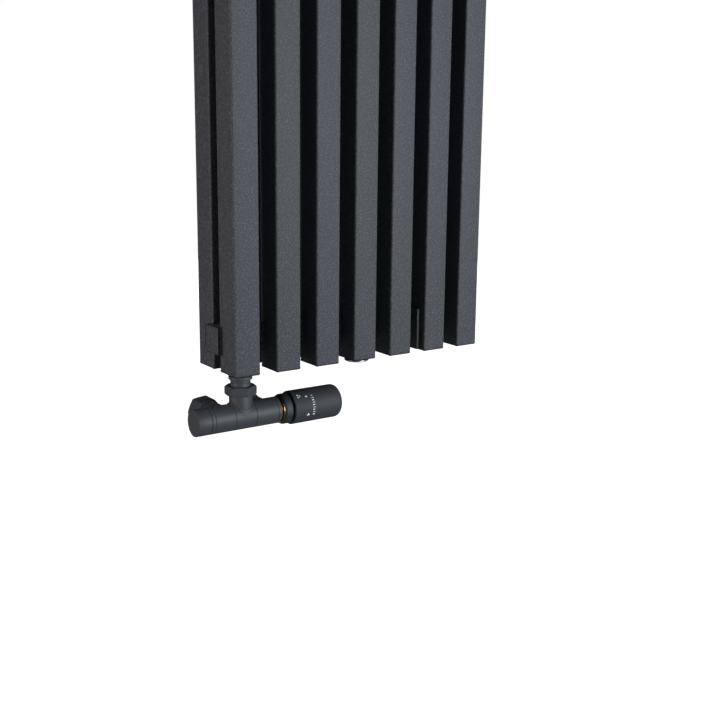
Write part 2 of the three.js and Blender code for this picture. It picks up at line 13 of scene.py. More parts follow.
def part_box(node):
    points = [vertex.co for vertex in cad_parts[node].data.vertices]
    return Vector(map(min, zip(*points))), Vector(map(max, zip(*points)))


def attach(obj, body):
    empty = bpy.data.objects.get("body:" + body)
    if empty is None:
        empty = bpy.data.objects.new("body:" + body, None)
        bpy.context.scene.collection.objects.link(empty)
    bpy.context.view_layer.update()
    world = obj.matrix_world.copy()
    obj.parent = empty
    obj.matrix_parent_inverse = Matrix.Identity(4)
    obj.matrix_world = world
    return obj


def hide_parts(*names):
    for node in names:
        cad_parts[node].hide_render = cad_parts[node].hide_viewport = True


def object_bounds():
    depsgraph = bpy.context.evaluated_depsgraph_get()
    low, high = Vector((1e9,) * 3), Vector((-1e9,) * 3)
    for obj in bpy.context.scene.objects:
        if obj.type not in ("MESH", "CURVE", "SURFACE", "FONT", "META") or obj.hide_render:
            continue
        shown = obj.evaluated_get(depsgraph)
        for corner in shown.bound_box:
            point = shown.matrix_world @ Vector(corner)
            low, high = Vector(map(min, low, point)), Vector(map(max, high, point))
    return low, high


bl_info = {
    "name": "Radiator with Valve",
    "version": (1, 0, 0),
    "blender": (4, 5, 0),
    "location": "3D View > Sidebar > Radiator",
    "description": "Models a double-row tube radiator, its brackets and its thermostatic valve",
    "category": "Object",
}

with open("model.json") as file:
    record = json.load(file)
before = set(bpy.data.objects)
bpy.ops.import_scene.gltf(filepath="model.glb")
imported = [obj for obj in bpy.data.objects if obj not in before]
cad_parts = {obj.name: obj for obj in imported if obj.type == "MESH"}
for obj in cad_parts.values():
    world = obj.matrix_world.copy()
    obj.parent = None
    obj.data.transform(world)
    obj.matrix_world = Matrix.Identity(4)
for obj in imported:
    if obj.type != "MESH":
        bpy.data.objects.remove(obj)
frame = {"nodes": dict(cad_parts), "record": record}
CAD_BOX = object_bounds()
MM = 0.001
AXES = {"x": Vector((1, 0, 0)), "y": Vector((0, 1, 0)), "z": Vector((0, 0, 1))}
LEVELS = ("bottom", "top")
HANDS = {"left": -1, "right": 1}


def box_of(node):
    """The low corner, the high corner and the middle of a CAD node."""
    low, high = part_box(node)
    return low, high, (low + high) / 2


TUBE_COUNT = sum(name.startswith("front_tube_") for name in frame["nodes"])
KNOB_LOW, KNOB_HIGH, KNOB_MIDDLE = box_of("head_knob")
RISER_MIDDLE = box_of("union_nut")[2]
VALVE = Vector((RISER_MIDDLE.x, KNOB_MIDDLE.y, KNOB_MIDDLE.z))  # where riser and body axes meet
BODY_RADIUS = (box_of("cover_cap")[1].z - box_of("cover_cap")[0].z) / 2
KNOB_RADIUS = (KNOB_HIGH.z - KNOB_LOW.z) / 2
BODY_AXIS = (0, VALVE.y, VALVE.z)
RISER_AXIS = (VALVE.x, VALVE.y, 0)

GAP = 0.3 * MM  # clearance between neighbouring pieces
SOCKET_THREAD = 10.2 * MM  # thread of the tubes' sockets, and of the insert
STUB_RADIUS = 12.6 * MM
RISER_BORE = 8 * MM
TAIL_NECK = 10.85 * MM
NECK_RADIUS = 11 * MM
NECK_LENGTH = 34 * MM
BRANCH_RADIUS = 14.2 * MM
PIPE_RADIUS = 7.7 * MM
PIPE_STOP = 20 * MM
WATERWAY = 5.5 * MM
UNION_NUT_FLATS = 30 * MM
PIPE_NUT_FLATS = 28 * MM
PIPE_NUT_TURN = math.radians(23)
COCK_RADIUS = 9.2 * MM
NIPPLE_RADIUS = 12 * MM
HEAD_THREAD = 14.6 * MM
PIN_HOLE = 3 * MM
SEAM_PLACES = (-36.1, -12.5, 12.5, 39.4)  # millimetres from the riser's axis


# ---- Sizes and colours that a user would change -----------------------------


def length(name, description, millimetres):
    return FloatProperty(
        name=name,
        description=description,
        default=millimetres * MM,
        min=0.0,
        precision=5,
        subtype="DISTANCE",
        unit="LENGTH",
    )


def tint(name, description, colour):
    return FloatVectorProperty(
        name=name, description=description, default=colour, min=0.0, max=1.0, size=3, subtype="COLOR"
    )


class RadiatorSizes(bpy.types.PropertyGroup):
    corner: length("Tube corner", "Radius of the tubes' long edges", 2.0)
    end_edge: length("Tube end edge", "Radius round the tubes' closed ends", 1.1)
    header_corner: length("Header corner", "Radius of the headers' long edges", 1.6)
    weld: length("Weld bead", "Radius of the weld beads round the headers", 0.75)
    bracket_edge: length("Bracket edge", "Rounding of the brackets' edges", 0.5)


class ValveSizes(bpy.types.PropertyGroup):
    sides: IntProperty(
        name="Sides", description="Sides of a turned piece", default=112, min=24, max=256
    )
    edge: length("Edge", "Rounding of turned edges", 0.35)
    seam_width: length("Seam width", "Width of the seams round the body", 0.55)
    seam_depth: length("Seam depth", "Depth of the seams round the body", 0.4)
    saddle: length("Saddle", "Width of the bevelled collar round the riser", 1.9)
    saddle_rise: length("Saddle rise", "Height of the bevelled collar above the body", 1.3)
    nut_edge: length("Nut edge", "Rounding of the nuts' edges", 0.3)
    mark_height: length("Mark height", "Height of the printed numbers", 2.3)


class FinishColours(bpy.types.PropertyGroup):
    coat: tint("Radiator coat", "Anthracite powder coat", (0.033, 0.036, 0.046))
    flake: tint("Coat grain", "Lighter grains of the powder coat", (0.135, 0.146, 0.170))
    valve: tint("Valve lacquer", "Satin lacquer of the valve", (0.042, 0.047, 0.057))
    head: tint("Head", "Soft plastic of the thermostatic head", (0.031, 0.035, 0.044))
    ring: tint("Ring nut", "Dark nickel of the ring nut", (0.085, 0.093, 0.106))
    brass: tint("Brass", "Turned brass", (0.30, 0.19, 0.08))
    nickel: tint("Nickel", "Nickel plate", (0.52, 0.50, 0.47))
    steel: tint("Steel", "Stainless steel", (0.42, 0.43, 0.45))
    print_white: tint("Marks", "Printed marks on the head", (0.94, 0.95, 0.97))
    floor: tint("Floor", "Pale studio floor", (0.42, 0.42, 0.42))


# ---- Materials --------------------------------------------------------------


class Signal:
    """A shader socket that can be used in arithmetic."""

    def __init__(self, finish, socket):
        self.finish = finish
        self.socket = socket

    def maths(self, operation, first, second):
        return self.finish.node("ShaderNodeMath", {"operation": operation}, {0: first, 1: second})

    def __add__(self, other):
        return self.maths("ADD", self, other)

    def __radd__(self, other):
        return self.maths("ADD", other, self)

    def __sub__(self, other):
        return self.maths("SUBTRACT", self, other)

    def __rsub__(self, other):
        return self.maths("SUBTRACT", other, self)

    def __mul__(self, other):
        return self.maths("MULTIPLY", self, other)

    def __rmul__(self, other):
        return self.maths("MULTIPLY", other, self)


class Finish:
    """A material made of nodes. Every node comes from the method node."""

    def __init__(self, name, preview):
        self.material = bpy.data.materials.new(name)
        self.material.use_nodes = True
        self.material.diffuse_color = (*preview, 1.0)
        self.tree = self.material.node_tree
        self.shader = self.tree.nodes["Principled BSDF"]

    def node(self, kind, settings, inputs, output=0):
        made = self.tree.nodes.new(kind)
        for name, value in settings.items():
            if name == "stops":
                self.fill_ramp(made.color_ramp, value)
            else:
                setattr(made, name, value)
        for key, value in inputs.items():
            self.feed(made.inputs[key], value)
        return Signal(self, made.outputs[output])

    def feed(self, socket, value):
        if isinstance(value, Signal):
            self.tree.links.new(value.socket, socket)
        else:
            socket.default_value = value

    @staticmethod
    def fill_ramp(ramp, stops):
        ramp.elements[0].position, ramp.elements[0].color = stops[0]
        ramp.elements[1].position, ramp.elements[1].color = stops[-1]
        for position, colour in stops[1:-1]:
            ramp.elements.new(position).color = colour

    def surface(self, **values):
        """Sets the shader's own sockets; an underscore stands for a space."""
        for name, value in values.items():
            self.feed(self.shader.inputs[name.replace("_", " ")], value)
        return self.material

    def place(self, stretch=(1, 1, 1)):
        coordinates = self.node("ShaderNodeTexCoord", {}, {}, "Object")
        return self.node("ShaderNodeMapping", {}, {"Vector": coordinates, "Scale": stretch})

    def noise(self, size, detail=2.0, roughness=0.5, stretch=(1, 1, 1)):
        """Noise from 0 to 1 whose features are about one size across."""
        inputs = {"Vector": self.place(stretch), "Scale": 1 / size}
        inputs.update({"Detail": detail, "Roughness": roughness})
        return self.node("ShaderNodeTexNoise", {}, inputs, "Fac")

    def band(self, signal, low, high):
        """Spreads a signal so that low becomes 0 and high becomes 1."""
        inputs = {"Value": signal, "From Min": low, "From Max": high}
        return self.node("ShaderNodeMapRange", {"clamp": True}, inputs)

    def blend(self, mask, first, second):
        """The first colour where the mask is 0 and the second where it is 1."""
        inputs = {0: mask, 6: opaque(first), 7: opaque(second)}
        return self.node("ShaderNodeMix", {"data_type": "RGBA"}, inputs, 2)

    def bump(self, height, strength, depth):
        inputs = {"Height": height, "Strength": strength, "Distance": depth}
        return self.node("ShaderNodeBump", {}, inputs)


def opaque(colour):
    return colour if isinstance(colour, Signal) else (*colour, 1.0)


def shade(colour, factor):
    return tuple(min(1.0, channel * factor) for channel in colour)


def powder_coat(colours):
    """Anthracite powder coat: a fine sandy relief with lighter grains and slight cloudiness."""
    coat = Finish("radiator_coat", colours.coat)
    grains = coat.noise(1.8 * MM, detail=3.0, roughness=0.7)
    sand = coat.noise(0.45 * MM, detail=2.0)
    cloud = coat.noise(60 * MM, detail=1.0)
    specks = coat.band(grains, 0.47, 0.72)
    colour = coat.blend(specks * 0.9, tuple(colours.coat), tuple(colours.flake))
    colour = coat.blend(cloud * 0.12, colour, shade(colours.coat, 0.55))
    relief = grains * 0.65 + sand * 0.35
    return coat.surface(
        Base_Color=colour,
        Metallic=0.0,
        Roughness=0.52 + grains * 0.22,
        Specular_IOR_Level=0.45,
        Normal=coat.bump(relief, 0.7, 0.32 * MM),
    )


def valve_lacquer(colours):
    """Smooth satin lacquer over turned brass, with a trace of the spray and a slow change of tone.
    """
    coat = Finish("valve_coat", colours.valve)
    spray = coat.noise(0.7 * MM, detail=2.0)
    cloud = coat.noise(16 * MM, detail=2.0)
    colour = coat.blend(cloud * 0.35, tuple(colours.valve), shade(colours.valve, 1.25))
    return coat.surface(
        Base_Color=colour,
        Metallic=0.0,
        Roughness=0.47 + spray * 0.10 + cloud * 0.06,
        Specular_IOR_Level=0.42,
        Normal=coat.bump(spray, 0.22, 0.05 * MM),
    )


def head_plastic(colours):
    """Moulded plastic with a soft, finely eroded surface."""
    coat = Finish("head_coat", colours.head)
    erosion = coat.noise(0.5 * MM, detail=3.0, roughness=0.65)
    cloud = coat.noise(22 * MM, detail=2.0)
    colour = coat.blend(cloud * 0.3, tuple(colours.head), shade(colours.head, 1.3))
    return coat.surface(
        Base_Color=colour,
        Roughness=0.58 + erosion * 0.16,
        Specular_IOR_Level=0.45,
        Normal=coat.bump(erosion, 0.3, 0.06 * MM),
    )


def turned_metal(name, colour, roughness, scratch=0.12):
    """Metal turned about X: fine rings round the axis, and a slow change of tone."""
    metal = Finish(name, colour)
    rings = metal.noise(6 * MM, detail=3.0, roughness=0.7, stretch=(24, 1, 1))
    cloud = metal.noise(9 * MM, detail=2.0)
    tone = metal.blend(cloud * 0.5, shade(colour, 0.72), shade(colour, 1.12))
    return metal.surface(
        Base_Color=tone,
        Metallic=1.0,
        Roughness=roughness + rings * scratch,
        Normal=metal.bump(rings, 0.12, 0.04 * MM),
    )


def rubber():
    """Black rubber with a dusty bloom."""
    black = Finish("rubber", (0.012, 0.012, 0.013))
    dust = black.noise(2.5 * MM, detail=4.0)
    colour = black.blend(dust * 0.6, (0.008, 0.008, 0.009), (0.022, 0.022, 0.023))
    return black.surface(
        Base_Color=colour,
        Roughness=0.72 + dust * 0.16,
        Normal=black.bump(dust, 0.2, 0.05 * MM),
    )


def nylon():
    """Black moulded plastic with a faint flow pattern."""
    black = Finish("nylon", (0.03, 0.031, 0.034))
    flow = black.noise(7 * MM, detail=3.0)
    grain = black.noise(0.6 * MM, detail=2.0)
    colour = black.blend(flow * 0.7, (0.02, 0.021, 0.024), (0.042, 0.043, 0.047))
    return black.surface(
        Base_Color=colour,
        Roughness=0.5 + grain * 0.15,
        Normal=black.bump(grain, 0.2, 0.05 * MM),
    )


def printed_white(colours):
    """Pad-printed white ink, slightly worn."""
    ink = Finish("dial_print", colours.print_white)
    wear = ink.noise(0.5 * MM, detail=3.0)
    white = tuple(colours.print_white)
    colour = ink.blend(ink.band(wear, 0.5, 0.75) * 0.5, white, shade(white, 0.6))
    return ink.surface(Base_Color=colour, Roughness=0.5 + wear * 0.1)


def studio_floor(colours):
    """Pale seamless paper."""
    paper = Finish("studio_floor", colours.floor)
    fibre = paper.noise(4 * MM, detail=4.0)
    colour = paper.blend(fibre * 0.3, tuple(colours.floor), shade(colours.floor, 0.97))
    seen = paper.node("ShaderNodeLightPath", {}, {}, "Is Camera Ray")
    glow = paper.blend(seen, (0.0, 0.0, 0.0), (1.0, 1.0, 1.0))
    return paper.surface(
        Base_Color=colour, Roughness=0.9, Emission_Color=glow, Emission_Strength=1.0
    )


FINISHES = {}


def make_finishes(colours):
    FINISHES.update(
        radiator_coat=powder_coat(colours),
        valve_coat=valve_lacquer(colours),
        head_coat=head_plastic(colours),
        grey_metal=turned_metal("grey_metal", tuple(colours.ring), 0.62),
        brass=turned_metal("brass", tuple(colours.brass), 0.24),
        nickel=turned_metal("nickel", tuple(colours.nickel), 0.28),
        steel=turned_metal("steel", tuple(colours.steel), 0.3),
        rubber=rubber(),
        nylon=nylon(),
        dial_print=printed_white(colours),
        studio_floor=studio_floor(colours),
    )


# ---- Modelling by hand ------------------------------------------------------


def deselect():
    if bpy.context.object and bpy.context.object.mode != "OBJECT":
        bpy.ops.object.mode_set(mode="OBJECT")
    bpy.ops.object.select_all(action="DESELECT")


def pick(*objects):
    """Selects only these objects; the last one is the active one."""
    deselect()
    for each in objects:
        each.select_set(True)
    bpy.context.view_layer.objects.active = objects[-1]
    return objects[-1]


def new_piece(name):
    made = bpy.context.object
    made.name = made.data.name = name
    bpy.ops.object.transform_apply(location=True, rotation=True, scale=True)
    return made


def block(name, low, high):
    """A box between two corners."""
    low, high = Vector(low), Vector(high)
    deselect()
    bpy.ops.mesh.primitive_cube_add(size=1, location=(low + high) / 2, scale=high - low)
    return new_piece(name)


def bar(name, axis, radius, start, end, centre, sides=None, turn=0.0):
    """A round or hexagonal bar along an axis, from start to end measured from the centre."""
    along = AXES[axis]
    towards = along.to_track_quat("Z", "Y") if axis != "z" else Matrix.Identity(3).to_quaternion()
    spun = towards @ Matrix.Rotation(turn, 3, "Z").to_quaternion()
    deselect()
    bpy.ops.mesh.primitive_cylinder_add(
        vertices=sides or bpy.context.scene.valve_sizes.sides,
        radius=radius,
        depth=end - start,
        location=Vector(centre) + along * (start + end) / 2,
        rotation=spun.to_euler(),
    )
    return new_piece(name)


def trace(name, points):
    """One line of edges through the points, drawn by extruding a vertex."""
    deselect()
    bpy.ops.mesh.primitive_plane_add(size=MM)
    made = new_piece(name)
    bpy.ops.object.mode_set(mode="EDIT")
    bpy.ops.mesh.select_all(action="SELECT")
    bpy.ops.mesh.merge(type="CENTER")
    bpy.ops.transform.translate(value=points[0])
    for start, end in zip(points, points[1:]):
        bpy.ops.mesh.extrude_region_move(TRANSFORM_OT_translate={"value": end - start})
    return made


def close_up():
    """Merges what coincides and turns the faces outwards, in edit mode."""
    bpy.ops.mesh.select_all(action="SELECT")
    bpy.ops.mesh.remove_doubles(threshold=MM / 1000)
    bpy.ops.mesh.normals_make_consistent(inside=False)


def turned(name, axis, profile, centre, sides=None):
    """A piece turned about an axis. Its profile is a list of (distance along the axis, radius)."""
    along = AXES[axis]
    out = AXES["z"] if axis == "x" else AXES["x"]
    centre = Vector(centre)
    made = trace(name, [centre + along * distance + out * radius for distance, radius in profile])
    bpy.ops.mesh.select_all(action="SELECT")
    steps = sides or bpy.context.scene.valve_sizes.sides
    bpy.ops.mesh.spin(steps=steps, angle=2 * math.pi, center=centre, axis=along)
    close_up()
    bpy.ops.object.mode_set(mode="OBJECT")
    return made


def ring_profile(outer, inner, start, end):
    return [(start, inner), (start, outer), (end, outer), (end, inner), (start, inner)]


def apply_modifier(piece, kind, **settings):
    pick(piece)
    modifier = piece.modifiers.new(kind.title(), kind)
    for name, value in settings.items():
        setattr(modifier, name, value)
    bpy.ops.object.modifier_apply(modifier=modifier.name)
    return piece


def combine(piece, operation, *tools):
    """Cuts the tools out of the piece, joins them or keeps what they share, and uses them up."""
    for tool in tools:
        apply_modifier(piece, "BOOLEAN", operation=operation, object=tool, solver="EXACT")
        bpy.data.objects.remove(tool)
    pick(piece)
    bpy.ops.object.mode_set(mode="EDIT")
    close_up()
    bpy.ops.object.mode_set(mode="OBJECT")
    return piece


def rounded(piece, width, segments=3, angle=32):
    apply_modifier(
        piece,
        "BEVEL",
        width=width,
        segments=segments,
        limit_method="ANGLE",
        angle_limit=math.radians(angle),
        miter_outer="MITER_ARC",
        harden_normals=False,
        use_clamp_overlap=True,
    )
    return piece


def bevel_where(piece, chosen, width, segments):
    """Bevels the edges whose two ends satisfy a test."""
    pick(piece)
    bpy.ops.object.mode_set(mode="EDIT")
    bpy.ops.mesh.select_all(action="DESELECT")
    bpy.ops.object.mode_set(mode="OBJECT")
    places = [vertex.co for vertex in piece.data.vertices]
    for edge in piece.data.edges:
        edge.select = chosen(*(places[index] for index in edge.vertices))
    bpy.ops.object.mode_set(mode="EDIT")
    bpy.ops.mesh.select_mode(type="EDGE")
    bpy.ops.mesh.bevel(offset=width, segments=segments, affect="EDGES")
    bpy.ops.mesh.select_mode(type="VERT")
    bpy.ops.object.mode_set(mode="OBJECT")
    return piece


def copied(piece, name, move):
    """A copy with its own mesh, moved by a vector."""
    pick(piece)
    bpy.ops.object.duplicate()
    made = bpy.context.object
    made.name = made.data.name = name
    bpy.ops.transform.translate(value=move)
    bpy.ops.object.transform_apply(location=True, rotation=True, scale=True)
    return made


def joined(name, pieces):
    pick(*pieces)
    bpy.ops.object.join()
    made = bpy.context.object
    made.name = made.data.name = name
    return made


def hand_over(piece, body, slot, *nodes, angle=35):
    """Smooths the piece, gives it its finish and ties it to the frame."""
    pick(piece)
    bpy.ops.object.shade_smooth_by_angle(angle=math.radians(angle))
    piece.data.materials.clear()
    piece.data.materials.append(FINISHES[slot])
    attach(piece, body)
    if nodes:
        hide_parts(*nodes)
    return piece


def gasket(node, centre, edge):
    """The flat gasket that seals a socket of the radiator."""
    low, high, _ = box_of(node)
    profile = ring_profile((high.x - low.x) / 2, SOCKET_THREAD + GAP, low.z, high.z)
    ring = turned("rubber_" + node, "z", profile, centre)
    hand_over(rounded(ring, edge), "radiator", "rubber", node)


# ---- Pieces of the radiator -------------------------------------------------


class PieceOperator:
    bl_options = {"REGISTER", "UNDO"}


class RADIATOR_OT_tubes(PieceOperator, bpy.types.Operator):
    """Models one tube of each row and copies it along the radiator"""

    bl_idname = "radiator.tubes"
    bl_label = "Tubes"

    def execute(self, context):
        sizes = context.scene.radiator_sizes
        for row in ("front", "rear"):
            first = self.tube(f"{row}_tube_1", sizes)
            start = box_of(f"{row}_tube_1")[2]
            pieces = [first]
            for number in range(2, TUBE_COUNT + 1):
                move = box_of(f"{row}_tube_{number}")[2] - start
                pieces.append(copied(first, f"coated_{row}_tube_{number}", move))
            for number, piece in enumerate(pieces, 1):
                hand_over(piece, "radiator", "radiator_coat", f"{row}_tube_{number}")
        return {"FINISHED"}

    def tube(self, node, sizes):
        low, high, _ = box_of(node)
        tube = block("coated_" + node, low, high)
        upright = lambda a, b: abs(a.z - b.z) > (high.z - low.z) / 2
        bevel_where(tube, upright, sizes.corner, 5)
        at_end = lambda a, b: abs(a.z - b.z) < MM and min(abs(a.z - low.z), abs(a.z - high.z)) < MM
        bevel_where(tube, at_end, sizes.end_edge, 4)
        gap = Vector((0, GAP, GAP))
        cutters = []
        for level in LEVELS:
            header_low, header_high, _ = box_of("header_" + level)
            cutters.append(block("recess", header_low - gap, header_high + gap))
        return combine(tube, "DIFFERENCE", *cutters)


class RADIATOR_OT_headers(PieceOperator, bpy.types.Operator):
    """Models the two square cross tubes and their end caps"""

    bl_idname = "radiator.headers"
    bl_label = "Headers"

    def execute(self, context):
        sizes = context.scene.radiator_sizes
        for level in LEVELS:
            low, high, _ = box_of("header_" + level)
            header = block(f"coated_header_{level}", low, high)
            lengthwise = lambda a, b: abs(a.x - b.x) > (high.x - low.x) / 2
            bevel_where(header, lengthwise, sizes.header_corner, 4)
            hand_over(header, "radiator", "radiator_coat", f"header_{level}")
            for hand, side in HANDS.items():
                self.cap(f"header_cap_{level}_{hand}", side, sizes)
        return {"FINISHED"}

    def cap(self, node, side, sizes):
        """A plate with rounded corners and edges, set against the header's end."""
        low, high, middle = box_of(node)
        header_end = box_of("header_bottom")[1].x * side
        face = high.x if side > 0 else low.x
        near, far = sorted((header_end + side * GAP, face))
        plate = block("coated_" + node, (near, low.y, low.z), (far, high.y, high.z))
        across = lambda a, b: abs(a.x - b.x) > (far - near) / 2
        bevel_where(plate, across, sizes.header_corner, 4)
        rounded(plate, 0.4 * MM)
        if node == "header_cap_top_right":
            hole = bar("vent_hole", "x", 5 * MM, near - MM, far + MM, (0, middle.y, middle.z))
            combine(plate, "DIFFERENCE", hole)
        hand_over(plate, "radiator", "radiator_coat", node)


class RADIATOR_OT_welds(PieceOperator, bpy.types.Operator):
    """Lays a weld bead round the headers at the sides of every tube"""

    bl_idname = "radiator.welds"
    bl_label = "Weld beads"

    def execute(self, context):
        radius = context.scene.radiator_sizes.weld
        for level in LEVELS:
            beads = []
            for row in ("front", "rear"):
                low, high, _ = box_of(f"{row}_tube_1")
                start = self.bead(row, level, low.x, radius)
                beads.append(start)
                beads.append(copied(start, "bead", Vector((high.x - low.x, 0, 0))))
                for number in range(2, TUBE_COUNT + 1):
                    for side in box_of(f"{row}_tube_{number}")[:2]:
                        beads.append(copied(start, "bead", Vector((side.x - low.x, 0, 0))))
            welds = joined(f"weld_beads_{level}", beads)
            hand_over(welds, "radiator", "radiator_coat", angle=60)
        return {"FINISHED"}

    def bead(self, row, level, x, radius):
        """Half a frame of round bar along the edges of a tube's recess."""
        low, high, _ = box_of("header_" + level)
        tube_low, tube_high, _ = box_of(f"{row}_tube_1")
        inner = tube_high.y if row == "front" else tube_low.y
        outer = low.y if row == "front" else high.y
        corners = [(inner, high.z), (outer, high.z), (outer, low.z), (inner, low.z)]
        path = trace("bead", [Vector((x, y, z)) for y, z in corners])
        bpy.ops.object.mode_set(mode="OBJECT")
        pick(path)
        bpy.ops.object.convert(target="CURVE")
        path.data.bevel_depth = radius
        path.data.bevel_resolution = 2
        path.data.use_fill_caps = True
        bpy.ops.object.convert(target="MESH")
        return bpy.context.object


class RADIATOR_OT_brackets(PieceOperator, bpy.types.Operator):
    """Models the four wall brackets and their plastic linings"""

    bl_idname = "radiator.brackets"
    bl_label = "Wall brackets"

    def execute(self, context):
        edge = context.scene.radiator_sizes.bracket_edge
        holes = {each["name"]: each["box_m"] for each in frame["record"]["physics"]["openings"]}
        for level in LEVELS:
            for hand, side in HANDS.items():
                node = f"wall_bracket_{level}_{hand}"
                prefix = f"screw_hole_{level}_{hand}"
                found = [box for name, box in holes.items() if name.startswith(prefix)]
                bracket = self.bracket(node, level, hand, side, found)
                rounded(bracket, edge, segments=2)
                hand_over(bracket, "radiator", "radiator_coat", node)
                self.liner(level, hand)
        return {"FINISHED"}

    def bracket(self, node, level, hand, side, holes):
        low, high, _ = box_of(node)
        liner_low, liner_high, _ = box_of(f"bracket_liner_{level}_{hand}")
        thickness = 4 * MM
        near, far = (high.x - thickness, high.x) if side > 0 else (low.x, low.x + thickness)
        foot = block("coated_" + node, (low.x, high.y - thickness, low.z), high)
        upright = block("upright", (near, low.y, low.z), (far, high.y - thickness / 2, high.z))
        combine(foot, "UNION", upright)
        cradle = block(
            "cradle",
            (near - MM, liner_low.y - GAP, liner_low.z - GAP),
            (far + MM, liner_high.y + GAP, high.z + MM),
        )
        drills = []
        for hole_low, hole_high in holes:
            x, _, z = (Vector(hole_low) + Vector(hole_high)) / 2
            drills.append(bar("drill", "y", 3.5 * MM, -8 * MM, 2 * MM, (x, 0, z), sides=32))
        return combine(foot, "DIFFERENCE", cradle, *drills)

    def liner(self, level, hand):
        node = f"bracket_liner_{level}_{hand}"
        low, high, _ = box_of(node)
        header_low, header_high, _ = box_of("header_" + level)
        liner = block("moulded_" + node, low, high)
        room = block(
            "room",
            (low.x - MM, header_low.y - GAP, header_low.z - GAP),
            (high.x + MM, header_high.y + GAP, high.z + MM),
        )
        combine(liner, "DIFFERENCE", room)
        rounded(liner, 0.3 * MM, segments=2)
        hand_over(liner, "radiator", "nylon", node)


class RADIATOR_OT_plug(PieceOperator, bpy.types.Operator):
    """Turns the blanking plug and its gasket"""

    bl_idname = "radiator.plug"
    bl_label = "Blanking plug"

    def execute(self, context):
        low, high, middle = box_of("blanking_plug")
        centre = (middle.x, middle.y, 0)
        radius = (high.x - low.x) / 2
        flange_top = box_of("blanking_gasket")[0].z - GAP
        profile = [
            (low.z, 0),
            (low.z, radius - 1.2 * MM),
            (low.z + 0.7 * MM, radius),
            (flange_top, radius),
            (flange_top, SOCKET_THREAD),
            (high.z, SOCKET_THREAD),
            (high.z, 0),
        ]
        plug = turned("plated_blanking_plug", "z", profile, centre)
        rounded(plug, 0.25 * MM)
        corner = 10 * MM / math.sqrt(3)
        key = bar("key", "z", corner, low.z - MM, low.z + 6 * MM, centre, sides=6)
        combine(plug, "DIFFERENCE", key)
        hand_over(plug, "radiator", "nickel", "blanking_plug", angle=25)
        gasket("blanking_gasket", centre, 0.2 * MM)
        return {"FINISHED"}


class RADIATOR_OT_vent(PieceOperator, bpy.types.Operator):
    """Turns the air vent and its bleed screw"""

    bl_idname = "radiator.vent"
    bl_label = "Air vent"

    def execute(self, context):
        low, high, middle = box_of("air_vent_body")
        centre = (0, middle.y, middle.z)
        radius = (high.z - low.z) / 2
        face = high.x - 2.5 * MM
        profile = [
            (low.x, 3.3 * MM),
            (low.x, 4.7 * MM),
            (face, 4.7 * MM),
            (face, radius),
            (high.x - 0.8 * MM, radius),
            (high.x, radius - 1.2 * MM),
            (high.x, 3.3 * MM),
            (low.x, 3.3 * MM),
        ]
        body = rounded(turned("plated_air_vent", "x", profile, centre), 0.2 * MM)
        hand_over(body, "radiator", "nickel", "air_vent_body")
        low, high, _ = box_of("air_vent_screw")
        key_start = high.x - 4 * MM
        stem = rounded(bar("brass_bleed_screw", "x", 2.6 * MM, low.x, key_start, centre), 0.2 * MM)
        half = Vector((0, 2 * MM, 2 * MM))
        key = block(
            "key",
            Vector((key_start - MM, middle.y, middle.z)) - half,
            Vector((high.x, middle.y, middle.z)) + half,
        )
        screw = combine(stem, "UNION", rounded(key, 0.25 * MM))
        hand_over(screw, "vent_screw", "brass", "air_vent_screw")
        return {"FINISHED"}


# ---- Pieces of the valve ----------------------------------------------------


def hexagon(name, axis, flats, start, end, centre, turn, edge):
    """A hexagonal bar whose corners are turned off at both ends."""
    corner = flats / math.sqrt(3)
    chamfer = corner - flats / 2
    nut = bar(name, axis, corner, start, end, centre, sides=6, turn=turn)
    profile = [
        (start, 0),
        (start, flats / 2 - 0.2 * MM),
        (start + chamfer * 0.62, corner + 0.1 * MM),
        (end - chamfer * 0.62, corner + 0.1 * MM),
        (end, flats / 2 - 0.2 * MM),
        (end, 0),
    ]
    barrel = turned("barrel", axis, profile, centre)
    combine(nut, "INTERSECT", barrel)
    return rounded(nut, edge, segments=2, angle=18)


